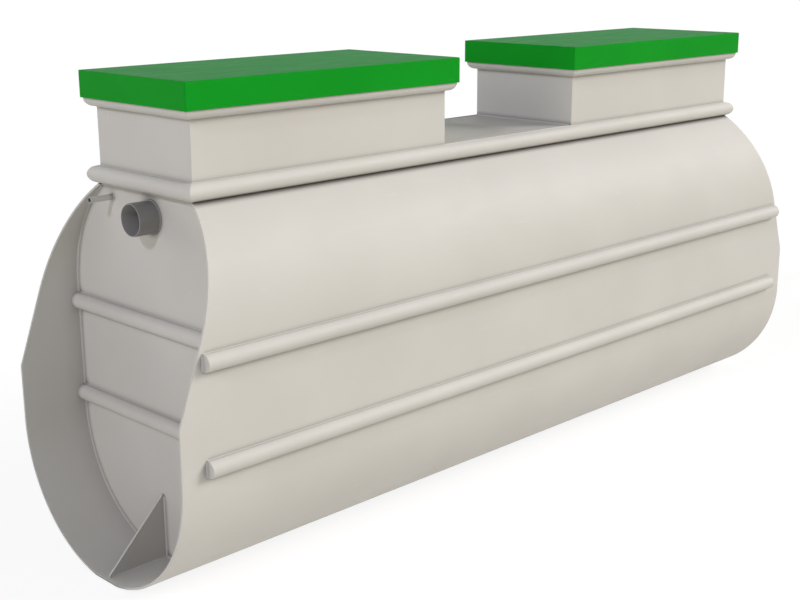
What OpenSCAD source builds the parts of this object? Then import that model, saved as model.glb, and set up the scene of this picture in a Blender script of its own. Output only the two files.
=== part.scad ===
// Horizontal septic tank welded from polypropylene sheet.
// X runs along the tank with the inlet end at -X, Y across it with the front at -Y, Z up.
// The origin is on the ground below the middle of the tank. Millimetres.

/* [Shell] */
// Length of the rolled shell, end edge to end edge
shell_l = 3500; // [3300:10:4200]
// Outer radius of the rounded underside and of the shoulders
shell_r = 467; // [430:1:520]
// Height of the flat stretch of each side, between the two curves
side_h = 445; // [420:5:560]
// Thickness of the shell sheet
shell_t = 8; // [5:1:12]
// Width of the flat strip on the underside that the tank stands on
foot_w = 120; // [80:5:180]
// Height of the upright stretch of the end edge above the lower curve, before it leans inwards
lean_rise = 192; // [100:4:300]
// How far the leaning edge stays outside the collar where it meets it
lean_land = 5; // [2:1:20]

/* [Bulkheads] */
// Distance from the end edge of the shell in to the bulkhead
end_recess = 245; // [160:5:330]
// Thickness of the two end bulkheads
bulkhead_t = 8; // [6:1:12]
// How far the toe of the gusset stays inside the end edge of the shell
gusset_land = 13; // [5:1:60]
// Height of the blunt nose of the gusset
gusset_nose = 8; // [2:1:20]
// Thickness of the gusset
gusset_t = 8; // [5:1:12]

/* [Collar and necks] */
// Width of the collar and of both necks
collar_w = 514; // [440:2:560]
// How far the collar sides reach through the shell, for the inside weld
collar_tongue = 3; // [1:1:10]
// Thickness of the collar, deck and neck sheets
neck_t = 8; // [5:1:12]
// Length of each neck
neck_l = 1140; // [900:5:1200]
// Height of the top of the lids above the ground
total_h = 1670; // [1560:5:1900]

/* [Half-round beads] */
// Radius of the rounded face of the beads on the collar, the shell and the bulkheads
bead_r = 29; // [22:1:32]
// Depth of the straight foot of a bead, before it rounds
bead_foot = 5; // [2:1:8]
// Distance from the end edge of the shell to the end of a side bead
side_bead_land = 95; // [90:5:250]
// Height of the lower beads above the lower curve
low_bead_rise = 43; // [35:1:90]
// Distance of the upper beads below the shoulder curve
high_bead_drop = 60; // [45:1:200]
// Depth of the middle of a neck bead below the lower edge of the lid
neck_bead_dip = 3; // [0:1:12]

/* [Lids] */
// Distance that a lid stands out past the neck, all round
lid_overhang = 38; // [36:1:50]
// Height of the lid, with its skirt
lid_h = 90; // [70:1:96]
// Thickness of the lid sheet
lid_t = 6; // [3:1:7]
// Play between the skirt of the lid and the bead round the neck
lid_play = 1; // [0.5:0.5:3]

/* [Pipes] */
// Outer diameter of the inlet and outlet spigots
pipe_d = 110; // [90:5:125]
// Wall of the spigots
pipe_wall = 3.2; // [2.6:0.2:5]
// Length of a spigot outside its bulkhead
pipe_out = 80; // [60:5:150]
// Length of a spigot inside the tank
pipe_in = 60; // [30:5:120]
// Leg of the fillet weld round a spigot
pipe_weld = 5; // [3:1:8]
// Sideways place of both spigots
pipe_y = -15; // [-100:5:100]
// Clearance between the inlet spigot and the collar bead above it
inlet_gap = 27; // [10:1:90]
// How much lower the outlet lies than the inlet
outlet_drop = 50; // [20:5:150]
// Outer diameter of the hose sleeve beside the inlet
sleeve_d = 20; // [16:1:32]
// Wall of the hose sleeve
sleeve_wall = 2; // [1.5:0.5:3]
// Length of the hose sleeve outside the bulkhead
sleeve_out = 90; // [40:5:120]
// Leg of the fillet weld round the hose sleeve
sleeve_weld = 3; // [2:1:5]
// Sideways place of the hose sleeve
sleeve_y = 205; // [150:5:230]
// Clearance between the hose sleeve and the collar bead above it
sleeve_gap = 33; // [10:1:80]

/* [Hidden] */
$fn = 96;

// The four sides that repeated pieces are placed on
FRONT = -1;
BACK = 1;
INLET = -1;
OUTLET = 1;

// Colours of the two kinds of sheet and of the pipes
SHEET = "#d6d2c8";
GREEN = "#1c9628";
PIPE = "#5f5e5c";

// Heights of the centres of the two curves of the section
low_c = sqrt(pow(shell_r, 2) - pow(foot_w / 2, 2));
high_c = low_c + side_h;
// Height of a curved sheet face of radius r on the shoulder, at distance y from the middle
function shoulder_z(r, y) = high_c + sqrt(r * r - y * y);

inner_r = shell_r - shell_t;
half_w = collar_w / 2;
// Outer face of the bulkheads, against the inside of the outer neck walls
bulkhead_x = shell_l / 2 - end_recess;
half_l = bulkhead_x + neck_t;
// Height where the outside of the shoulder meets the collar
shoulder_top = shoulder_z(shell_r, half_w);
// The collar bead rests on the shoulder with the edge of its straight foot
bead_depth = bead_foot + bead_r;
collar_bead_z = shoulder_z(shell_r, half_w + bead_foot) + bead_r;
deck_z = collar_bead_z + bead_r;
collar_bottom = shoulder_z(inner_r, half_w) - collar_tongue;
// The walls of the necks end under the plate of the lid
neck_top = total_h - lid_t;
// The beads of the necks fit inside the skirts of the lids
neck_bead_r = lid_overhang - lid_t - lid_play - bead_foot;
neck_bead_z = total_h - lid_h - neck_bead_dip;
neck_mid = half_l - neck_l / 2;
lean_z = low_c + lean_rise;
// Inward lean of the end edge of the shell for each millimetre of height
lean = (shell_l / 2 - half_l - lean_land) / (shoulder_top - lean_z);
crown_z = high_c + shell_r;
gusset_size = end_recess - gusset_land;
side_bead_l = shell_l - 2 * side_bead_land;
low_bead_z = low_c + low_bead_rise;
high_bead_z = high_c - high_bead_drop;
// The spigots and the sleeve hang below the collar bead
under_collar_bead = collar_bead_z - bead_r;
inlet_z = under_collar_bead - inlet_gap - pipe_d / 2;
outlet_z = inlet_z - outlet_drop;
sleeve_z = under_collar_bead - sleeve_gap - sleeve_d / 2;
// Longer than any cut needs to be
past = 20;

// ---------------------------------------------------------------- shared shapes

// Moves a profile drawn in Y and Z to a bar along X, centred
module along_x(length) {
    rotate([90, 0, 90]) linear_extrude(height = length, center = true) children();
}

// Section of the shell, or of the room inside it when inset by the sheet
module section(inset = 0) {
    r = shell_r - inset;
    difference() {
        union() {
            translate([0, low_c]) circle(r);
            translate([-r, low_c]) square([2 * r, side_h]);
            translate([0, high_c]) circle(r);
        }
        translate([-shell_r, inset - shell_r]) square([2 * shell_r, shell_r]);
    }
}

// Side view of the shell: upright end edges that lean inwards above lean_z
module side_view() {
    top_x = shell_l / 2 - lean * (crown_z - lean_z);
    rotate([90, 0, 0]) linear_extrude(height = 2 * shell_r + past, center = true) polygon([
        [-shell_l / 2, -past], [shell_l / 2, -past],
        [shell_l / 2, lean_z], [top_x, crown_z],
        [-top_x, crown_z], [-shell_l / 2, lean_z]
    ]);
}

// Profile of a bead on a wall that faces +Y, with the wall at Y = 0
module bead_profile() {
    translate([0, -bead_r]) square([bead_foot, 2 * bead_r]);
    intersection() {
        translate([bead_foot, 0]) circle(bead_r);
        translate([bead_foot, -bead_r]) square(2 * bead_r);
    }
}

// Straight bead with square ends on the back of a wall at Y = 0
module bead(length) {
    along_x(length) bead_profile();
}

// Bead of a rectangular ring, mitred at both ends; length is that of its wall
module mitred_bead(length) {
    intersection() {
        bead(length + 2 * bead_depth);
        translate([0, 0, -bead_r]) linear_extrude(height = 2 * bead_r) polygon([
            [-length / 2, 0], [length / 2, 0],
            [length / 2 + bead_depth, bead_depth], [-length / 2 - bead_depth, bead_depth]
        ]);
    }
}

// Section of a plate with half-round edges, as wide as a neck and the beads on both its faces
module plate_section(width) {
    for (side = [-1, 1]) translate([side * (width / 2 + bead_foot), 0]) circle(neck_bead_r);
    square([width + 2 * bead_foot, 2 * neck_bead_r], center = true);
}

// Bead all round a neck, mitred at its corners
module ring_bead(length, width) {
    reach = length + width;
    difference() {
        intersection() {
            along_x(reach) plate_section(width);
            rotate(90) along_x(reach) plate_section(length);
        }
        cube([length, width, 4 * neck_bead_r], center = true);
    }
}

// Mirrors what is drawn for the back to the side wanted
module on_side(side) {
    mirror([0, side == FRONT ? 1 : 0, 0]) children();
}

// Mirrors what is drawn for the outlet end to the end wanted
module on_end(end) {
    mirror([end == INLET ? 1 : 0, 0, 0]) children();
}

// ---------------------------------------------------------------- shell

// Rounded underside with the flat strip that the tank stands on
module shell_bottom() {
    color(SHEET) along_x(shell_l) intersection() {
        difference() {
            section();
            section(shell_t);
        }
        translate([-shell_r, 0]) square([2 * shell_r, low_c]);
    }
}

// Flat side sheet between the two curves
module shell_side(side) {
    color(SHEET) on_side(side) intersection() {
        translate([-shell_l / 2, inner_r, low_c]) cube([shell_l, shell_t, side_h]);
        side_view();
    }
}

// Curved sheet from the side up to the collar
module shell_shoulder(side) {
    color(SHEET) on_side(side) intersection() {
        along_x(shell_l) intersection() {
            difference() {
                section();
                section(shell_t);
            }
            translate([half_w, high_c]) square([shell_r, shell_r]);
        }
        side_view();
    }
}

// ---------------------------------------------------------------- bulkheads

// End plate inside the shell, with the hole for its spigot
module bulkhead(end) {
    color(SHEET) difference() {
        on_end(end) translate([bulkhead_x - bulkhead_t / 2, 0, 0]) along_x(bulkhead_t) intersection() {
            section(shell_t);
            translate([-shell_r, 0]) square([2 * shell_r, deck_z]);
        }
        for (side = [FRONT, BACK]) collar_side_sheet(side, 2 * half_l);
        at_spigot(end) tube_hole(pipe_d);
        if (end == INLET) at_sleeve() tube_hole(sleeve_d);
    }
}

// Triangular plate on the middle line that props the bulkhead off the shell bottom
module gusset(end) {
    color(SHEET) on_end(end) translate([bulkhead_x, gusset_t / 2, shell_t]) rotate([90, 0, 0])
        linear_extrude(height = gusset_t) polygon([
            [0, 0], [gusset_size, 0], [gusset_size, gusset_nose], [gusset_nose, gusset_size], [0, gusset_size]
        ]);
}

// ---------------------------------------------------------------- collar and necks

module collar_side_sheet(side, length) {
    on_side(side) translate([-length / 2, half_w - neck_t, collar_bottom])
        cube([length, neck_t, deck_z - collar_bottom]);
}

// Long sheet that stands in the slot of the shell, between the outer neck walls
module collar_side(side) {
    color(SHEET) collar_side_sheet(side, 2 * bulkhead_x);
}

// Flat sheet between the two necks
module deck() {
    deck_l = 2 * (half_l - neck_l + neck_t);
    deck_w = collar_w - 2 * neck_t;
    color(SHEET) translate([-deck_l / 2, -deck_w / 2, deck_z - neck_t]) cube([deck_l, deck_w, neck_t]);
}

// Neck wall at the end of the tank: one sheet from the bulkhead up to the lid
module neck_outer_wall(end) {
    color(SHEET) on_end(end) translate([bulkhead_x, -half_w, collar_bottom])
        cube([neck_t, collar_w, neck_top - collar_bottom]);
}

// Neck wall that stands on the deck
module neck_inner_wall(end) {
    color(SHEET) on_end(end) translate([half_l - neck_l, -half_w, deck_z])
        cube([neck_t, collar_w, neck_top - deck_z]);
}

// Long neck wall that stands on the collar side
module neck_side_wall(end, side) {
    color(SHEET) on_end(end) on_side(side) translate([half_l - neck_l + neck_t, half_w - neck_t, deck_z])
        cube([neck_l - 2 * neck_t, neck_t, neck_top - deck_z]);
}

// ---------------------------------------------------------------- beads

// Bead along one long side of the collar, on the shoulder
module collar_bead_side(side) {
    color(SHEET) on_side(side) translate([0, half_w, collar_bead_z]) mitred_bead(2 * half_l);
}

// Bead across one end of the collar
module collar_bead_end(end) {
    color(SHEET) on_end(end) translate([half_l, 0, collar_bead_z]) rotate(-90) mitred_bead(collar_w);
}

// Bead all round a neck, just under the skirt of its lid
module neck_bead(end) {
    color(SHEET) on_end(end) translate([neck_mid, 0, neck_bead_z]) ring_bead(neck_l, collar_w);
}

// Bead along the flat of one side of the shell
module side_bead(side, z) {
    color(SHEET) on_side(side) translate([0, shell_r, z]) bead(side_bead_l);
}

// Bead across a bulkhead, from one side of the shell to the other
module bulkhead_bead(end, z) {
    color(SHEET) on_end(end) translate([bulkhead_x, 0, z]) rotate(-90) bead(2 * inner_r);
}

// ---------------------------------------------------------------- pipes

// Places a tube on the axis of the spigot of one end, with Z = 0 on the bulkhead's outer face
module at_spigot(end) {
    z = end == INLET ? inlet_z : outlet_z;
    on_end(end) translate([bulkhead_x, pipe_y, z]) rotate([0, 90, 0]) children();
}

// The same for the hose sleeve
module at_sleeve() {
    on_end(INLET) translate([bulkhead_x, sleeve_y, sleeve_z]) rotate([0, 90, 0]) children();
}

// Hole through a bulkhead for a tube
module tube_hole(d) {
    translate([0, 0, -bulkhead_t - past]) cylinder(d = d, h = bulkhead_t + 2 * past);
}

// Tube through a bulkhead, with a fillet weld round it on the outside
module welded_tube(d, wall, out, weld) {
    difference() {
        union() {
            translate([0, 0, -bulkhead_t - pipe_in]) cylinder(d = d, h = pipe_in + bulkhead_t + out);
            cylinder(d1 = d + 2 * weld, d2 = d, h = weld);
        }
        translate([0, 0, -bulkhead_t - pipe_in - past])
            cylinder(d = d - 2 * wall, h = pipe_in + bulkhead_t + out + 2 * past);
    }
}

// Spigot that a drain pipe pushes on to
module pipe(end) {
    color(PIPE) at_spigot(end) welded_tube(pipe_d, pipe_wall, pipe_out, pipe_weld);
}

// Thin sleeve for an air hose
module hose_sleeve() {
    color(SHEET) at_sleeve() welded_tube(sleeve_d, sleeve_wall, sleeve_out, sleeve_weld);
}

// ---------------------------------------------------------------- lids

// Box lid that drops over the neck and rests on its walls
module lid(end) {
    l = neck_l + 2 * lid_overhang;
    w = collar_w + 2 * lid_overhang;
    color(GREEN) on_end(end) translate([neck_mid, 0, total_h - lid_h / 2]) difference() {
        cube([l, w, lid_h], center = true);
        translate([0, 0, -lid_t]) cube([l - 2 * lid_t, w - 2 * lid_t, lid_h], center = true);
    }
}

shell_bottom();
shell_side(FRONT);  // shell_side_front
shell_side(BACK);  // shell_side_back
shell_shoulder(FRONT);  // shell_shoulder_front
shell_shoulder(BACK);  // shell_shoulder_back
bulkhead(INLET);  // inlet_bulkhead
bulkhead(OUTLET);  // outlet_bulkhead
gusset(INLET);  // inlet_gusset
gusset(OUTLET);  // outlet_gusset
collar_side(FRONT);  // collar_side_front
collar_side(BACK);  // collar_side_back
deck();
neck_outer_wall(INLET);  // inlet_neck_outer_wall
neck_inner_wall(INLET);  // inlet_neck_inner_wall
neck_side_wall(INLET, FRONT);  // inlet_neck_front_wall
neck_side_wall(INLET, BACK);  // inlet_neck_back_wall
neck_outer_wall(OUTLET);  // outlet_neck_outer_wall
neck_inner_wall(OUTLET);  // outlet_neck_inner_wall
neck_side_wall(OUTLET, FRONT);  // outlet_neck_front_wall
neck_side_wall(OUTLET, BACK);  // outlet_neck_back_wall
collar_bead_side(FRONT);  // collar_bead_front
collar_bead_side(BACK);  // collar_bead_back
collar_bead_end(INLET);  // collar_bead_inlet
collar_bead_end(OUTLET);  // collar_bead_outlet
neck_bead(INLET);  // inlet_neck_bead
neck_bead(OUTLET);  // outlet_neck_bead
side_bead(FRONT, low_bead_z);  // side_bead_front_low
side_bead(FRONT, high_bead_z);  // side_bead_front_high
side_bead(BACK, low_bead_z);  // side_bead_back_low
side_bead(BACK, high_bead_z);  // side_bead_back_high
bulkhead_bead(INLET, low_bead_z);  // inlet_bead_low
bulkhead_bead(INLET, high_bead_z);  // inlet_bead_high
bulkhead_bead(OUTLET, low_bead_z);  // outlet_bead_low
bulkhead_bead(OUTLET, high_bead_z);  // outlet_bead_high
pipe(INLET);  // inlet_pipe
pipe(OUTLET);  // outlet_pipe
hose_sleeve();
lid(INLET);  // inlet_lid
lid(OUTLET);  // outlet_lid
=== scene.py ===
"""Looks of a horizontal septic tank, welded from polypropylene sheet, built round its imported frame."""

import math

import bmesh
import bpy
from mathutils import Matrix, Vector


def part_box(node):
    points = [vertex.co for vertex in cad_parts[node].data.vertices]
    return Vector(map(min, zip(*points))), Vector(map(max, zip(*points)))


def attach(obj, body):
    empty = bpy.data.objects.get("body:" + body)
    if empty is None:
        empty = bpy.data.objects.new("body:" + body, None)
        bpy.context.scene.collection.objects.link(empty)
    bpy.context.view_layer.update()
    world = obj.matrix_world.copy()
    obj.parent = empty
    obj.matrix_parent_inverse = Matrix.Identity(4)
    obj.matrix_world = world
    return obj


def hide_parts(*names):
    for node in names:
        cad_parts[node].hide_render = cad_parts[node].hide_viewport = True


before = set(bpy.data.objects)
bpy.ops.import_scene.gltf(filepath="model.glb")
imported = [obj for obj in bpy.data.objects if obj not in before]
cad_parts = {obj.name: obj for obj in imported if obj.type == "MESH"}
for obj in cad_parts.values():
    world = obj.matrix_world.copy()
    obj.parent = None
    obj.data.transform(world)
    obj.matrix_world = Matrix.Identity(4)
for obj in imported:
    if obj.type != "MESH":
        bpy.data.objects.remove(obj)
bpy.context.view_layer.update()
scene = bpy.context.scene

# ---------------------------------------------------------------- Camera
# Not a piece of the tank. It stands off the front inlet corner, a little above the lids, and looks down along
# the front side, with a lens a little longer than normal.

CAMERA_PLACE = (-3.917, -3.587, 2.056)
CAMERA_YAW = 44.81  # degrees from +Y towards +X
CAMERA_PITCH = 14.89  # degrees below the horizon
CAMERA_ROLL = -0.26  # degrees
CAMERA_LENS = 59.76  # mm
SENSOR_WIDTH = 36  # mm
CLIP_END = 500

camera = bpy.data.objects.new("camera", bpy.data.cameras.new("camera"))
camera.data.lens = CAMERA_LENS
camera.data.sensor_width = SENSOR_WIDTH
camera.data.clip_end = CLIP_END
camera.matrix_world = (
    Matrix.Translation(CAMERA_PLACE)
    @ Matrix.Rotation(-math.radians(CAMERA_YAW), 4, "Z")
    @ Matrix.Rotation(math.radians(90 - CAMERA_PITCH), 4, "X")
    @ Matrix.Rotation(math.radians(CAMERA_ROLL), 4, "Z")
)
scene.collection.objects.link(camera)
scene.camera = camera

# ---------------------------------------------------------------- Rolled shell
# One long sheet of 8 mm polypropylene, rolled to an oval, with a flat strip below and open under the collar.
# Its end edges are sawn: upright below, and leaning in towards the collar above.

SHEET_COLOUR = "#D0CEC7"
SHEET_SHADE = "#CBC9C2"
SHEET_SCUFF = "#D9D7D3"
SHELL_NODES = (
    "shell_bottom", "shell_side_front", "shell_side_back", "shell_shoulder_front", "shell_shoulder_back",
)
ARC_STEPS = 36
SAWN_EDGE = 0.0012
SHARP = math.radians(60)
CREASE = math.radians(32)
MERGE = 0.00001

# Share of its colour that the sheet keeps under painted shade in the tightest corners, and how far out that painted
# shade reaches
SHEET_PAINTED_SHADE = 0.24
NOOK = 0.034
INSIDE_PAINTED_SHADE = 0.8
INSIDE_NOOK = 0.12
FULL_SHADE_FROM, NO_SHADE_FROM = 0.4, 0.85  # share of open sky seen from the point

# Patterns of extruded plastic in metres: cloudy tone, orange peel, and the length and width of handling scuffs.
# The real peel is about a millimetre across, so it is drawn coarser here to show at all.
CLOUD_SIZE = 0.385
PEEL_SIZE = 0.0091
PEEL_DEPTH = 0.0004
SCUFF_SIZE = (0.143, 0.0217, 0.0217)
SCUFF_TURN = (0.5, 0.35, 0.2)
SCUFF_FROM, SCUFF_FULL, SCUFF_SHARE = 0.66, 0.78, 0.35
POLISH, WEAR = 0.04, 0.1  # how much the roughness falls and rises along the scuffs
PLASTIC_IOR = 1.49


def linear(colour):
    """Linear RGBA of an sRGB hex colour."""
    shares = [int(colour[i:i + 2], 16) / 255 for i in (1, 3, 5)]
    return [s / 12.92 if s <= 0.04045 else ((s + 0.055) / 1.055) ** 2.4 for s in shares] + [1]


def add(tree, kind, inputs=(), **settings):
    """Adds a node; inputs pairs a socket with a value or with the socket that feeds it."""
    node = tree.nodes.new(kind)
    for name, value in settings.items():
        setattr(node, name, value)
    for socket, value in dict(inputs).items():
        if isinstance(value, bpy.types.NodeSocket):
            tree.links.new(value, node.inputs[socket])
        else:
            node.inputs[socket].default_value = value
    return node


def satin_plastic(name, colour, shade, scuff, roughness, sheen, painted_corner_shade, nook, line_gap, line_depth, stretch):
    """Extruded plastic: faint clouds, die lines, a soft orange peel, a few scuffs, and painted shade darkening the
    corners.
    """
    material = bpy.data.materials.new(name)
    material.use_nodes = True
    tree = material.node_tree
    surface = tree.nodes["Principled BSDF"]
    place = add(tree, "ShaderNodeTexCoord").outputs["Object"]
    clouds = add(tree, "ShaderNodeTexNoise", {
        "Vector": place, "Scale": 1 / CLOUD_SIZE, "Detail": 3.0, "Roughness": 0.45,
    })
    along = add(tree, "ShaderNodeMapping", {"Vector": place, "Scale": [s / line_gap for s in stretch]})
    lines = add(tree, "ShaderNodeTexNoise", {"Vector": along.outputs[0], "Scale": 1.0, "Detail": 2.0})
    peel = add(tree, "ShaderNodeTexNoise", {"Vector": place, "Scale": 1 / PEEL_SIZE, "Detail": 1.0})
    tilt = add(tree, "ShaderNodeMapping", {
        "Vector": place, "Rotation": SCUFF_TURN, "Scale": [1 / size for size in SCUFF_SIZE],
    })
    streaks = add(tree, "ShaderNodeTexNoise", {"Vector": tilt.outputs[0], "Scale": 1.0, "Detail": 3.0})
    scuffs = add(tree, "ShaderNodeMapRange", {
        "Value": streaks.outputs[0], "From Min": SCUFF_FROM, "From Max": SCUFF_FULL, "To Max": SCUFF_SHARE,
    })
    tone = add(tree, "ShaderNodeMapRange", {"Value": clouds.outputs[0], "From Min": 0.3, "From Max": 0.7})
    clouded = add(tree, "ShaderNodeMix", {
        "Factor": tone.outputs[0], 6: linear(shade), 7: linear(colour),
    }, data_type="RGBA")
    scuffed = add(tree, "ShaderNodeMix", {
        "Factor": scuffs.outputs[0], 6: clouded.outputs[2], 7: linear(scuff),
    }, data_type="RGBA")
    # Painted shade: the colour darkens where the point sees little open sky, in corners and under beads
    corner = add(tree, "ShaderNodeAmbientOcclusion", {"Distance": nook}, samples=8)
    corner_shade_factor = add(tree, "ShaderNodeMapRange", {
        "Value": corner.outputs["AO"], "From Min": FULL_SHADE_FROM, "From Max": NO_SHADE_FROM, "To Min": painted_corner_shade,
    })
    corner_shaded = add(tree, "ShaderNodeMix", {
        "Factor": 1.0, 6: scuffed.outputs[2], 7: corner_shade_factor.outputs[0],
    }, data_type="RGBA", blend_type="MULTIPLY")
    tree.links.new(corner_shaded.outputs[2], surface.inputs["Base Color"])
    rough = add(tree, "ShaderNodeMapRange", {
        "Value": streaks.outputs[0], "From Min": 0.3, "From Max": 0.8,
        "To Min": roughness - POLISH, "To Max": roughness + WEAR,
    })
    tree.links.new(rough.outputs[0], surface.inputs["Roughness"])
    line_bump = add(tree, "ShaderNodeBump", {"Height": lines.outputs[0], "Strength": 0.5, "Distance": line_depth})
    peel_bump = add(tree, "ShaderNodeBump", {
        "Height": peel.outputs[0], "Normal": line_bump.outputs[0], "Strength": 0.25, "Distance": PEEL_DEPTH,
    })
    tree.links.new(peel_bump.outputs[0], surface.inputs["Normal"])
    surface.inputs["IOR"].default_value = PLASTIC_IOR
    surface.inputs["Specular IOR Level"].default_value = sheen
    return material


# Natural polypropylene, extruded through a wide die: satin, with lines along the sheet every few millimetres.
# The real die lines are under a millimetre apart and are drawn coarser too.
sheet = satin_plastic(
    "extruded polypropylene sheet, light grey", SHEET_COLOUR, SHEET_SHADE, SHEET_SCUFF,
    roughness=0.5, sheen=0.2, painted_corner_shade=SHEET_PAINTED_SHADE, nook=NOOK, line_gap=0.006, line_depth=0.0003, stretch=(0.02, 0.02, 1),
)
# The same sheet on its inner face, with a wide soft painted shade along the corners
inner_sheet = satin_plastic(
    "extruded polypropylene sheet, light grey, inner face", SHEET_COLOUR, SHEET_SHADE, SHEET_SCUFF,
    roughness=0.5, sheen=0.2, painted_corner_shade=INSIDE_PAINTED_SHADE, nook=INSIDE_NOOK, line_gap=0.006, line_depth=0.0003,
    stretch=(0.02, 0.02, 1),
)


def make_piece(bm, name, material, replaced=()):
    """Turns a finished bmesh into a piece that rides on the tank."""
    bmesh.ops.recalc_face_normals(bm, faces=bm.faces[:])
    mesh = bpy.data.meshes.new(name)
    bm.to_mesh(mesh)
    bm.free()
    mesh.shade_smooth()
    mesh.set_sharp_from_angle(angle=CREASE)
    mesh.materials.append(material)
    piece = bpy.data.objects.new(name, mesh)
    scene.collection.objects.link(piece)
    even = piece.modifiers.new("even shading", "WEIGHTED_NORMAL")
    even.keep_sharp = True
    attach(piece, "root")
    if replaced:
        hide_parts(*replaced)
    return piece


shell_low, shell_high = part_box("shell_bottom")
shell_r = shell_high.y
low_centre = shell_high.z
shoulder_low, shoulder_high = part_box("shell_shoulder_back")
high_centre = shoulder_low.z
foot_angle = math.acos(low_centre / shell_r)
shell_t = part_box("shell_side_back")[1].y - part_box("shell_side_back")[0].y
collar_half_w = shoulder_low.y
collar_angle = math.acos(collar_half_w / (shell_r - shell_t))
QUARTER = math.radians(90)


def of_kind(geometry, kind):
    """The vertices, edges or faces in what an operator returns."""
    return [g for g in geometry if isinstance(g, kind)]


def roll_up(bm, top_angle):
    """Carries edges drawn straight below the lower centre all round the section, over the foot strip and up."""
    start = bm.edges[:]
    bmesh.ops.rotate(
        bm, verts=bm.verts[:], cent=(0, 0, low_centre), matrix=Matrix.Rotation(foot_angle, 3, "X"),
    )
    strip = bmesh.ops.extrude_edge_only(bm, edges=start)["geom"]
    bmesh.ops.scale(bm, verts=of_kind(strip, bmesh.types.BMVert), vec=(1, 0, 1))
    turned = bmesh.ops.spin(
        bm, geom=start, cent=(0, 0, low_centre), axis=(1, 0, 0), angle=QUARTER - foot_angle,
        steps=ARC_STEPS, use_merge=False,
    )
    raised = bmesh.ops.extrude_edge_only(bm, edges=of_kind(turned["geom_last"], bmesh.types.BMEdge))["geom"]
    up = (0, 0, high_centre - low_centre)
    bmesh.ops.translate(bm, verts=of_kind(raised, bmesh.types.BMVert), vec=up)
    bmesh.ops.spin(
        bm, geom=of_kind(raised, bmesh.types.BMEdge), cent=(0, 0, high_centre), axis=(1, 0, 0), angle=top_angle,
        steps=ARC_STEPS, use_merge=False,
    )
    bmesh.ops.remove_doubles(bm, verts=bm.verts[:], dist=MERGE)
    bmesh.ops.mirror(bm, geom=bm.verts[:] + bm.edges[:] + bm.faces[:], axis="Y", merge_dist=MERGE)


bm = bmesh.new()
ends = [bm.verts.new((x, 0, low_centre - shell_r)) for x in (shell_low.x, shell_high.x)]
bm.edges.new(ends)
roll_up(bm, collar_angle)

# The leaning saw cut runs through the end of the shoulder's foot and the end of the collar
LEAN_LAND = 0.005
collar_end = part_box("outlet_neck_outer_wall")[1].x + LEAN_LAND
lean_slope = (shoulder_high.x - collar_end) / (shoulder_high.z - high_centre)
for side in (-1, 1):
    bmesh.ops.bisect_plane(
        bm, geom=bm.verts[:] + bm.edges[:] + bm.faces[:], dist=MERGE,
        plane_co=(side * collar_end, 0, shoulder_high.z), plane_no=(side, 0, lean_slope), clear_outer=True,
    )
bmesh.ops.recalc_face_normals(bm, faces=bm.faces[:])
if max(bm.faces, key=lambda f: f.calc_center_median().y).normal.y < 0:
    bmesh.ops.reverse_faces(bm, faces=bm.faces[:])
bmesh.ops.solidify(bm, geom=bm.faces[:], thickness=shell_t)
sawn = [e for e in bm.edges if e.calc_face_angle(0) > SHARP]
bmesh.ops.bevel(bm, geom=sawn, offset=SAWN_EDGE, affect="EDGES", segments=2, profile=0.5, material=-1)
shell = make_piece(bm, "rolled_shell", sheet, SHELL_NODES)

# The inner face takes the wider painted shade
shell.data.materials.append(inner_sheet)
for patch in shell.data.polygons:
    outwards = patch.center - Vector((patch.center.x, 0, min(max(patch.center.z, low_centre), high_centre)))
    patch.material_index = 1 if patch.normal.dot(outwards) < -0.1 * outwards.length else 0

# ---------------------------------------------------------------- Bulkheads, gussets, collar sheets and deck
# Flat sheets of the same polypropylene, sawn to shape and butted together; their edges are just broken.
# Their solids are right as they are, so they keep their own meshes.

FLAT_NODES = ("inlet_bulkhead", "outlet_bulkhead", "collar_side_front", "collar_side_back")
# Colour and share of the painted shade on the deck's top and the gussets' sides
PAINTED_SHADE_COLOUR = "#B3B0AC"
PAINTED_SHADE_SHARE = 0.9
BROKEN_EDGE = 0.0008
CLOSED_GAP = 0.00005
SAWN_ANGLE = math.radians(50)


def dress(node, material):
    """Gives a flat CAD node its finish, with broken edges."""
    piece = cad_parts[node]
    piece.data.materials.clear()
    piece.data.materials.append(material)
    weld = piece.modifiers.new("closed corners", "WELD")
    weld.merge_threshold = CLOSED_GAP
    edge = piece.modifiers.new("broken edge", "BEVEL")
    edge.width = BROKEN_EDGE
    edge.segments = 2
    edge.limit_method = "ANGLE"
    edge.angle_limit = SAWN_ANGLE


for node in FLAT_NODES:
    dress(node, sheet)


def lay_facing_shade(material, axis, colour, share):
    """Paints shade on the faces that look along one axis, and leaves the others as they are."""
    tree = material.node_tree
    facing = add(tree, "ShaderNodeSeparateXYZ", {"Vector": add(tree, "ShaderNodeNewGeometry").outputs["Normal"]})
    along = add(tree, "ShaderNodeMath", {0: facing.outputs[axis]}, operation="ABSOLUTE")
    lying = add(tree, "ShaderNodeMapRange", {
        "Value": along.outputs[0], "From Min": 0.6, "From Max": 0.95, "To Max": share,
    })
    surface = tree.nodes["Principled BSDF"]
    facing_shaded = add(tree, "ShaderNodeMix", {
        "Factor": lying.outputs[0], 6: surface.inputs["Base Color"].links[0].from_socket, 7: linear(colour),
    }, data_type="RGBA")
    tree.links.new(facing_shaded.outputs[2], surface.inputs["Base Color"])


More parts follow.
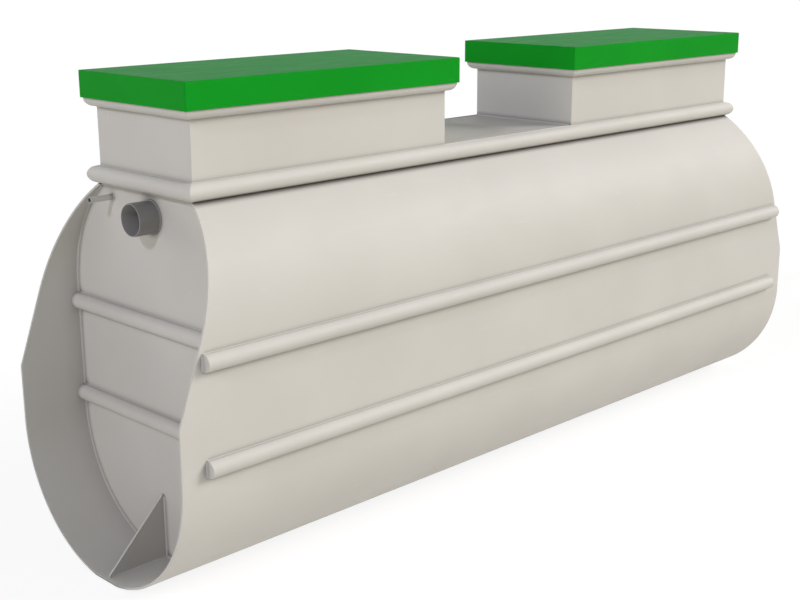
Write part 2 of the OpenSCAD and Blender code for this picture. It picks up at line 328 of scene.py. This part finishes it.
# The same sheet, a little duller, under painted shade that darkens it and evens out its tone on the faces that look
# along one axis: the top of the deck, and the sides of the gussets, which stand low; the gussets' sawn edges stay
# unshaded.
for name, nodes, axis in (("deck", ["deck"], "Z"), ("gusset", ["inlet_gusset", "outlet_gusset"], "Y")):
    shaded_sheet = satin_plastic(
        f"extruded polypropylene sheet, light grey, dusty {name}", SHEET_COLOUR, SHEET_SHADE, SHEET_SCUFF,
        roughness=0.55, sheen=0.15, painted_corner_shade=0.6, nook=NOOK, line_gap=0.006, line_depth=0.0002, stretch=(0.02, 1, 1),
    )
    lay_facing_shade(shaded_sheet, axis, PAINTED_SHADE_COLOUR, PAINTED_SHADE_SHARE)
    for node in nodes:
        dress(node, shaded_sheet)

# Extrusion welds: a rounded fillet of the same plastic, laid by hand along the joints that show
WELD_COLOUR = "#C3C1BB"
WELD_SHADE = "#BCBAB4"
WELD_LEG = 0.005
WELD_FLATNESS = 0.5
WELD_STEPS = 6
WELD_RUN = 0.97  # share of a gusset's edge that is welded
WELD_END_GAP = math.radians(1)

# Welding rod of the same polypropylene, laid hot from a shoe: it cools smoother than the sheet, and a little
# darker with the soot of the hot air
weld_rod = satin_plastic(
    "extrusion weld, light grey polypropylene", WELD_COLOUR, WELD_SHADE, SHEET_SCUFF,
    roughness=0.42, sheen=0.2, painted_corner_shade=0.8, nook=NOOK, line_gap=0.004, line_depth=0.0003, stretch=(1, 1, 1),
)


def weld_outline(bm, corner, one, other):
    """Closed outline of a fillet in a corner; one and other point along the two sheets, square to the joint."""
    centre = corner - (one + other) * WELD_LEG * WELD_FLATNESS
    first = bm.verts.new(corner + one * WELD_LEG)
    sweep = (first.co - centre).angle(corner + other * WELD_LEG - centre)
    spun = bmesh.ops.spin(bm, geom=[first], cent=centre, axis=one.cross(other), angle=sweep, steps=WELD_STEPS)
    last = of_kind(spun["geom_last"], bmesh.types.BMVert)[0]
    root = bm.verts.new(corner)
    bm.edges.new((root, first))
    bm.edges.new((root, last))


def straight_weld(name, start, run, one, other):
    """Fillet from the corner at start along run."""
    bm = bmesh.new()
    weld_outline(bm, start, one, other)
    section = bmesh.ops.contextual_create(bm, geom=bm.edges[:])["faces"]
    pushed = bmesh.ops.extrude_face_region(bm, geom=section)["geom"]
    bmesh.ops.translate(bm, verts=of_kind(pushed, bmesh.types.BMVert), vec=run)
    make_piece(bm, name, weld_rod)


for end, side in (("inlet", -1), ("outlet", 1)):
    # All round the bulkhead
    face_x = side * max(abs(c.x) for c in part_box(f"{end}_bulkhead"))
    outwards, up = Vector((side, 0, 0)), Vector((0, 0, 1))
    bm = bmesh.new()
    weld_outline(bm, Vector((face_x, 0, low_centre - shell_r + shell_t)), outwards, up)
    roll_up(bm, collar_angle - WELD_END_GAP)
    bmesh.ops.holes_fill(bm, edges=[e for e in bm.edges if e.is_boundary], sides=0)
    make_piece(bm, f"{end}_bulkhead_weld", weld_rod)
    # Both sides of the gusset, up the bulkhead and along the foot strip
    low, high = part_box(f"{end}_gusset")
    for name, y, aside in (("front", low.y, Vector((0, -1, 0))), ("back", high.y, Vector((0, 1, 0)))):
        start = Vector((face_x, y, low.z))
        rise, reach = up * (high.z - low.z) * WELD_RUN, outwards * (high.x - low.x) * WELD_RUN
        straight_weld(f"{end}_gusset_{name}_weld_up", start, rise, outwards, aside)
        straight_weld(f"{end}_gusset_{name}_weld_along", start, reach, up, aside)
    # Across the deck at the foot of the neck
    low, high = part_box(f"{end}_neck_inner_wall")
    inner_x = min((low.x, high.x), key=abs)
    deck_low, deck_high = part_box("deck")
    start, across = Vector((inner_x, deck_low.y, deck_high.z)), Vector((0, deck_high.y - deck_low.y, 0))
    straight_weld(f"{end}_neck_foot_weld", start, across, -outwards, up)

# ---------------------------------------------------------------- Necks
# Access shafts of the same sheet, four walls butt-welded to a box, with their corners scraped slightly round.
# They stand on the collar, and the outer wall reaches down to the bulkhead as a tongue.

NECK_CORNER = 0.003
NEAR = 0.0001

for end in ("inlet", "outlet"):
    walls = [f"{end}_neck_{side}_wall" for side in ("outer", "inner", "front", "back")]
    outer_low, outer_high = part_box(walls[0])
    inner_low, inner_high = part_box(walls[1])
    neck_t = outer_high.x - outer_low.x
    low = Vector((min(outer_low.x, inner_low.x), outer_low.y, inner_low.z))
    high = Vector((max(outer_high.x, inner_high.x), outer_high.y, outer_high.z))
    bm = bmesh.new()
    bmesh.ops.create_cube(bm, size=1)
    bmesh.ops.scale(bm, verts=bm.verts[:], vec=high - low)
    bmesh.ops.translate(bm, verts=bm.verts[:], vec=(low + high) / 2)
    open_ends = [f for f in bm.faces if abs(f.normal.z) > 0.9]
    bmesh.ops.delete(bm, geom=open_ends, context="FACES_ONLY")
    upright = [e for e in bm.edges if abs(e.verts[0].co.z - e.verts[1].co.z) > NECK_CORNER]
    bmesh.ops.bevel(bm, geom=upright, offset=NECK_CORNER, affect="EDGES", segments=4, profile=0.5, material=-1)
    bmesh.ops.recalc_face_normals(bm, faces=bm.faces[:])
    outer_x = outer_low.x if end == "inlet" else outer_high.x
    foot = [
        e for e in bm.edges
        if e.is_boundary and all(abs(v.co.x - outer_x) < NEAR and v.co.z < low.z + NEAR for v in e.verts)
    ]
    tongue = bmesh.ops.extrude_edge_only(bm, edges=foot)["geom"]
    bmesh.ops.translate(bm, verts=of_kind(tongue, bmesh.types.BMVert), vec=(0, 0, outer_low.z - low.z))
    bmesh.ops.recalc_face_normals(bm, faces=bm.faces[:])
    bmesh.ops.solidify(bm, geom=bm.faces[:], thickness=neck_t)
    rims = [e for e in bm.edges if e.calc_face_angle(0) > SHARP]
    bmesh.ops.bevel(bm, geom=rims, offset=BROKEN_EDGE, affect="EDGES", segments=2, profile=0.5, material=-1)
    make_piece(bm, f"{end}_neck", sheet, walls)

# ---------------------------------------------------------------- Half-round beads
# Stiffeners of hollow polypropylene half pipe, with capped ends or mitred corners, which keep the flat sheets
# from bulging. They are welded on along both edges with a thin fillet.

# Share of its colour the bead keeps under painted shade in its corners
BEAD_PAINTED_SHADE = 0.5
BEAD_STEPS = 20
FILLET = 0.0025
CAP_EDGE = 0.002
CAP_WELD_SHARE = 0.92  # share of the bead's width
PROUD = 0.001  # an edge further from the wall than this is rounded

# The same polypropylene drawn as half pipe: satin, lines along it, and with weaker painted shade in its corners than
# the sheet
bead_sheet = satin_plastic(
    "extruded polypropylene half pipe, light grey", SHEET_COLOUR, SHEET_SHADE, SHEET_SCUFF,
    roughness=0.5, sheen=0.2, painted_corner_shade=BEAD_PAINTED_SHADE, nook=NOOK, line_gap=0.006, line_depth=0.0002, stretch=(0.02, 0.02, 1),
)

deep_low, deep_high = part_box("side_bead_back_high")
bead_r = (deep_high.z - deep_low.z) / 2
bead_foot = deep_high.y - deep_low.y - bead_r


def half_round(bm, radius):
    """Face of a bead's section in Y and Z: the wall at Y = 0, a fillet weld and a straight foot, then the round."""
    corner = bm.verts.new((0, bead_foot, -radius))
    spun = bmesh.ops.spin(
        bm, geom=[corner], cent=(0, bead_foot, 0), axis=(1, 0, 0), angle=math.pi, steps=BEAD_STEPS,
    )
    top = of_kind(spun["geom_last"], bmesh.types.BMVert)[0]
    for vert, side in ((corner, -1), (top, 1)):
        edge_of_weld = bm.verts.new((0, FILLET, side * radius))
        toe_of_weld = bm.verts.new((0, 0, side * (radius + FILLET)))
        bm.edges.new((vert, edge_of_weld))
        bm.edges.new((edge_of_weld, toe_of_weld))
    toes = [v for v in bm.verts if len(v.link_edges) == 1]
    bm.edges.new(toes)
    return bmesh.ops.contextual_create(bm, geom=bm.edges[:])["faces"][0]


def straight_bead(name, node, length, turn, place):
    """Bead with capped ends, drawn along X with its middle at zero, then turned about Z and put in its place."""
    bm = bmesh.new()
    section = half_round(bm, bead_r)
    pushed = bmesh.ops.extrude_face_region(bm, geom=[section])["geom"]
    bmesh.ops.translate(bm, verts=of_kind(pushed, bmesh.types.BMVert), vec=(length, 0, 0))
    bmesh.ops.translate(bm, verts=bm.verts[:], vec=(-length / 2, 0, 0))
    bmesh.ops.recalc_face_normals(bm, faces=bm.faces[:])
    caps = [e for e in bm.edges if any(abs(f.normal.x) > 0.9 for f in e.link_faces)]
    caps = [e for e in caps if max(v.co.y for v in e.verts) > PROUD]
    bmesh.ops.bevel(bm, geom=caps, offset=CAP_EDGE, affect="EDGES", segments=3, profile=0.5, material=-1)
    bmesh.ops.transform(bm, matrix=Matrix.Translation(place) @ Matrix.Rotation(turn, 4, "Z"), verts=bm.verts[:])
    make_piece(bm, name, bead_sheet, [node])


def ring_bead(name, nodes, low, high, radius):
    """Bead round a box, mitred at its corners; low and high are the box's corners at the bead's height."""
    bm = bmesh.new()
    half = (high - low) / 2
    loops = []
    outline = bmesh.new()
    half_round(outline, radius)
    section = bpy.data.meshes.new("section")
    outline.to_mesh(section)
    outline.free()
    for sx, sy in ((1, 1), (-1, 1), (-1, -1), (1, -1)):
        before = set(bm.verts)
        bm.from_mesh(section)
        verts = [v for v in bm.verts if v not in before]
        for v in verts:
            v.co = Vector((sx * (half.x + v.co.y), sy * (half.y + v.co.y), v.co.z))
        loops.append([e for e in bm.edges if e.verts[0] in verts])
    bpy.data.meshes.remove(section)
    bmesh.ops.delete(bm, geom=bm.faces[:], context="FACES_ONLY")
    for one, other in zip(loops, loops[1:] + loops[:1]):
        bmesh.ops.bridge_loops(bm, edges=one + other)
    bmesh.ops.recalc_face_normals(bm, faces=bm.faces[:])
    mitres = [
        e for loop in loops for e in loop
        if max(abs(v.co.x) - half.x for v in e.verts) > PROUD and max(abs(v.co.y) - half.y for v in e.verts) > PROUD
    ]
    bmesh.ops.bevel(bm, geom=mitres, offset=CAP_EDGE, affect="EDGES", segments=3, profile=0.5, material=-1)
    bmesh.ops.translate(bm, verts=bm.verts[:], vec=(low + high) / 2)
    make_piece(bm, name, bead_sheet, nodes)


# Along the sides of the shell
for side, y in (("front", -1), ("back", 1)):
    for level in ("low", "high"):
        node = f"side_bead_{side}_{level}"
        low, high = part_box(node)
        middle = Vector((0, y * shell_r, (low.z + high.z) / 2))
        straight_bead(node + "_round", node, high.x - low.x, 0 if y > 0 else math.pi, middle)
        # The closed ends are welded to the shell
        run = Vector((0, 0, 2 * bead_r * CAP_WELD_SHARE))
        for end, x, away in (("inlet", low.x, -1), ("outlet", high.x, 1)):
            start = middle + Vector((x, 0, 0)) - run / 2
            straight_weld(f"{node}_{end}_cap_weld", start, run, Vector((away, 0, 0)), Vector((0, y, 0)))

# Across the bulkheads
for end, side in (("inlet", -1), ("outlet", 1)):
    face_x = side * max(abs(c.x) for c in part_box(f"{end}_bulkhead"))
    for level in ("low", "high"):
        node = f"{end}_bead_{level}"
        low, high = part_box(node)
        middle = Vector((face_x, 0, (low.z + high.z) / 2))
        straight_bead(node + "_round", node, high.y - low.y, -side * QUARTER, middle)

# Round the foot of the collar
collar_beads = [f"collar_bead_{side}" for side in ("front", "back", "inlet", "outlet")]
bead_low, bead_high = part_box("collar_bead_back")
bead_z = (bead_low.z + bead_high.z) / 2
collar_low = Vector((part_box("inlet_neck_outer_wall")[0].x, -collar_half_w, bead_z))
collar_high = Vector((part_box("outlet_neck_outer_wall")[1].x, collar_half_w, bead_z))
ring_bead("collar_bead", collar_beads, collar_low, collar_high, bead_r)

# Round each neck, half hidden by the skirt of its lid
for end in ("inlet", "outlet"):
    low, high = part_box(f"{end}_neck_bead")
    radius = (high.z - low.z) / 2
    depth = Vector((radius + bead_foot, radius + bead_foot, radius))
    ring_bead(f"{end}_neck_bead_round", [f"{end}_neck_bead"], low + depth, high - depth, radius)

# ---------------------------------------------------------------- Spigots and hose sleeve
# Short lengths of 110 mm drain pipe through the bulkheads, and a thin sleeve for an air hose. Each is sawn off,
# given a lead-in at its mouth for a socket, and welded round at the sheet.

PIPE_COLOUR = "#898784"
PIPE_SHADE = "#82807D"
PIPE_SCUFF = "#A3A19D"
# Paler painted light for the bore and the sawn end of the pipe
BORE_PAINTED_LIGHT_COLOUR = "#ADABA7"
BORE_PAINTED_LIGHT_SHADE = "#A4A29E"
PIPE_WALL = 0.0032
PIPE_WELD = 0.005
SLEEVE_WALL = 0.002
SLEEVE_WELD = 0.003
PIPE_STEPS = 96
LEAD_IN = 0.004
LEAD_IN_DEPTH = 0.4  # share of the wall
MOUTH_EDGE = 0.0005
FULL_TURN = math.radians(360)

# Grey drain pipe, extruded: smooth satin with faint draw lines along it, drawn coarser than the real ones
pipe_grey = satin_plastic(
    "extruded drain pipe, dark grey", PIPE_COLOUR, PIPE_SHADE, PIPE_SCUFF,
    roughness=0.45, sheen=0.3, painted_corner_shade=1.0, nook=NOOK, line_gap=0.003, line_depth=0.0002, stretch=(0.02, 1, 1),
)
# The bore and the sawn end are painted paler than the outside: painted light inside the mouth, and a painted
# highlight on the rim
bore_painted_light = satin_plastic(
    "extruded drain pipe, painted_light_on inner layer", BORE_PAINTED_LIGHT_COLOUR, BORE_PAINTED_LIGHT_SHADE, PIPE_SCUFF,
    roughness=0.45, sheen=0.3, painted_corner_shade=1.0, nook=NOOK, line_gap=0.003, line_depth=0.0002, stretch=(0.02, 1, 1),
)


def tube(name, node, wall, weld, material, bore):
    """Tube along X, with its mouth at the end away from the middle of the tank."""
    low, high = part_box(node)
    side = 1 if low.x > 0 else -1
    mouth, inside = (high.x, low.x) if side > 0 else (low.x, high.x)
    centre = Vector((0, (low.y + high.y) / 2, (low.z + high.z) / 2))
    outer = (high.y - low.y) / 2 - weld
    end = "inlet" if side < 0 else "outlet"
    face_x = side * max(abs(c.x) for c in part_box(f"{end}_bulkhead"))
    points = [
        (inside, outer - wall), (inside, outer), (face_x, outer), (mouth - side * LEAD_IN, outer),
        (mouth, outer - LEAD_IN_DEPTH * wall), (mouth, outer - wall),
    ]
    bm = bmesh.new()
    ring = [bm.verts.new((x, centre.y, centre.z + r)) for x, r in points]
    edges = [bm.edges.new(pair) for pair in zip(ring, ring[1:] + ring[:1])]
    bmesh.ops.spin(
        bm, geom=ring + edges, cent=centre, axis=(1, 0, 0), angle=FULL_TURN, steps=PIPE_STEPS, use_merge=True,
    )
    bmesh.ops.remove_doubles(bm, verts=bm.verts[:], dist=2 * MERGE)
    rims = [e for e in bm.edges if e.calc_face_angle(0) > SAWN_ANGLE]
    bmesh.ops.bevel(bm, geom=rims, offset=MOUTH_EDGE, affect="EDGES", segments=2, profile=0.5, material=-1)
    piece = make_piece(bm, name, material, [node])
    piece.data.materials.append(bore)
    # The bore and the sawn end take the paler painted light
    for patch in piece.data.polygons:
        reach = math.hypot(patch.center.y - centre.y, patch.center.z - centre.z)
        patch.material_index = 1 if reach < outer - 0.5 * wall else 0
    # The weld ring, a convex fillet in the corner between pipe and sheet
    bm = bmesh.new()
    start = bm.verts.new((face_x, centre.y, centre.z + outer + weld))
    bmesh.ops.spin(
        bm, geom=[start], cent=(face_x, centre.y, centre.z + outer), axis=(0, side, 0), angle=QUARTER,
        steps=WELD_STEPS,
    )
    bmesh.ops.spin(
        bm, geom=bm.verts[:] + bm.edges[:], cent=centre, axis=(1, 0, 0), angle=FULL_TURN, steps=PIPE_STEPS,
        use_merge=True,
    )
    bmesh.ops.remove_doubles(bm, verts=bm.verts[:], dist=2 * MERGE)
    make_piece(bm, name + "_weld", material)


tube("inlet_spigot", "inlet_pipe", PIPE_WALL, PIPE_WELD, pipe_grey, bore_painted_light)
tube("outlet_spigot", "outlet_pipe", PIPE_WALL, PIPE_WELD, pipe_grey, bore_painted_light)
tube("air_hose_sleeve", "hose_sleeve", SLEEVE_WALL, SLEEVE_WELD, sheet, sheet)

# ---------------------------------------------------------------- Lids
# Lift-off box covers of 6 mm green polypropylene sheet, folded at the edges and welded at the corners.
# They drop over the necks and rest on them, with a skirt that keeps the rain out.

LID_COLOUR = "#109A23"
LID_SHADE = "#0E9320"
LID_SCUFF = "#2FA340"
# Colour and share of the painted shade on the lids' tops
LID_PAINTED_SHADE = "#147030"
LID_PAINTED_SHADE_SHARE = 0.85
LID_EDGE = 0.003
LID_T = 0.006

# Green polypropylene sheet, coloured right through: a plain deep green with very little gloss
lid_green = satin_plastic(
    "extruded polypropylene sheet, green", LID_COLOUR, LID_SHADE, LID_SCUFF,
    roughness=0.5, sheen=0.035, painted_corner_shade=0.7, nook=NOOK, line_gap=0.006, line_depth=0.0002, stretch=(0.02, 0.02, 1),
)

# Painted shade on the flat tops, which takes some of the green out of them
lay_facing_shade(lid_green, "Z", LID_PAINTED_SHADE, LID_PAINTED_SHADE_SHARE)

for end in ("inlet", "outlet"):
    low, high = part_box(f"{end}_lid")
    bm = bmesh.new()
    bmesh.ops.create_cube(bm, size=1)
    bmesh.ops.scale(bm, verts=bm.verts[:], vec=high - low)
    bmesh.ops.translate(bm, verts=bm.verts[:], vec=(low + high) / 2)
    below = [f for f in bm.faces if f.normal.z < -0.9]
    bmesh.ops.delete(bm, geom=below, context="FACES_ONLY")
    folds = [e for e in bm.edges if not e.is_boundary]
    bmesh.ops.bevel(bm, geom=folds, offset=LID_EDGE, affect="EDGES", segments=4, profile=0.5, material=-1)
    bmesh.ops.recalc_face_normals(bm, faces=bm.faces[:])
    if max(bm.faces, key=lambda f: f.calc_area()).normal.z < 0:
        bmesh.ops.reverse_faces(bm, faces=bm.faces[:])
    bmesh.ops.solidify(bm, geom=bm.faces[:], thickness=LID_T)
    rims = [e for e in bm.edges if e.calc_face_angle(0) > SHARP]
    bmesh.ops.bevel(bm, geom=rims, offset=BROKEN_EDGE, affect="EDGES", segments=2, profile=0.5, material=-1)
    make_piece(bm, f"{end}_cover", lid_green, [f"{end}_lid"])

# ---------------------------------------------------------------- Floor and light
# A plain white studio floor that keeps the tank's soft shadow, under a white sky, neither a piece of the tank.
# Soft keys stand to the front and right, a small cool lamp high at the inlet end draws the pipe's shadow, and
# low fills light the inlet end and the back.

FLOOR_HALF = 90.0
FLOOR_LIGHTING = "#E7E6E4"  # what the floor throws back on the tank
FLOOR_SHADED = "#797979"  # the part of the floor's white that darkens in the tank's shadow
FLOOR_GLOW = 0.86
SKY_STRENGTH = 0.2
BACKDROP_STRENGTH = 1.0

bm = bmesh.new()
bmesh.ops.create_grid(bm, x_segments=1, y_segments=1, size=FLOOR_HALF)
mesh = bpy.data.meshes.new("studio_floor")
bm.to_mesh(mesh)
bm.free()
floor = bpy.data.objects.new("studio_floor", mesh)
scene.collection.objects.link(floor)


def is_seen(tree):
    """One for a ray that shows the background: from the camera, off a glossy face or through glass."""
    rays = add(tree, "ShaderNodeLightPath").outputs
    mirrored = add(tree, "ShaderNodeMath", {0: rays["Is Camera Ray"], 1: rays["Is Glossy Ray"]}, operation="MAXIMUM")
    seen = add(tree, "ShaderNodeMath", {
        0: mirrored.outputs[0], 1: rays["Is Transmission Ray"],
    }, operation="MAXIMUM")
    return seen.outputs[0]


# Matt white paint, rolled: to the eye it is white, and darker only in the tank's shadow
paint = bpy.data.materials.new("matt white floor paint")
paint.use_nodes = True
tree = paint.node_tree
tree.nodes.remove(tree.nodes["Principled BSDF"])
lighting = add(tree, "ShaderNodeBsdfDiffuse", {"Color": linear(FLOOR_LIGHTING)})
shaded = add(tree, "ShaderNodeBsdfDiffuse", {"Color": linear(FLOOR_SHADED)})
glow = add(tree, "ShaderNodeEmission", {"Color": linear("#FFFFFF"), "Strength": FLOOR_GLOW})
shown = add(tree, "ShaderNodeAddShader", {0: shaded.outputs[0], 1: glow.outputs[0]})
mixed = add(tree, "ShaderNodeMixShader", {0: is_seen(tree), 1: lighting.outputs[0], 2: shown.outputs[0]})
tree.links.new(mixed.outputs[0], tree.nodes["Material Output"].inputs["Surface"])
floor.data.materials.append(paint)

# The sky lights the tank faintly, and shows as plain white
world = bpy.data.worlds.new("studio sky")
scene.world = world
world.use_nodes = True
tree = world.node_tree
tree.nodes.clear()
sky = add(tree, "ShaderNodeBackground", {"Color": linear("#FFFFFF"), "Strength": SKY_STRENGTH})
backdrop = add(tree, "ShaderNodeBackground", {"Color": linear("#FFFFFF"), "Strength": BACKDROP_STRENGTH})
mixed = add(tree, "ShaderNodeMixShader", {0: is_seen(tree), 1: sky.outputs[0], 2: backdrop.outputs[0]})
add(tree, "ShaderNodeOutputWorld", {"Surface": mixed.outputs[0]})

# Name, direction from which the light comes, strength, colour and softness in degrees
LAMPS = (
    ("front_key", (0.65, -0.7, 0.3), 0.6, "#FFEBBC", 40),
    ("high_key", (0.68, -0.53, 0.5), 1.88, "#FDFAFF", 25),
    ("front_fill", (0.1, -0.95, 0.3), 0.21, "#F6FFEF", 40),
    ("overhead", (0.3, -0.3, 0.9), 0.15, "#FFFFFF", 40),
    ("inlet_low", (-0.99, -0.08, 0.1), 0.5, "#FFF7E0", 24),
    ("inlet_high", (-0.789, -0.248, 0.563), 0.84, "#E5E6FF", 4),
    ("back_fill", (-0.15, 0.98, 0.12), 1.3, "#FFFFFF", 40),
)
for name, source, strength, colour, softness in LAMPS:
    lamp = bpy.data.objects.new(name, bpy.data.lights.new(name, "SUN"))
    lamp.data.energy = strength
    lamp.data.color = linear(colour)[:3]
    lamp.data.angle = math.radians(softness)
    lamp.rotation_euler = Vector(source).to_track_quat("Z", "Y").to_euler()
    scene.collection.objects.link(lamp)

scene.view_settings.view_transform = "Standard"
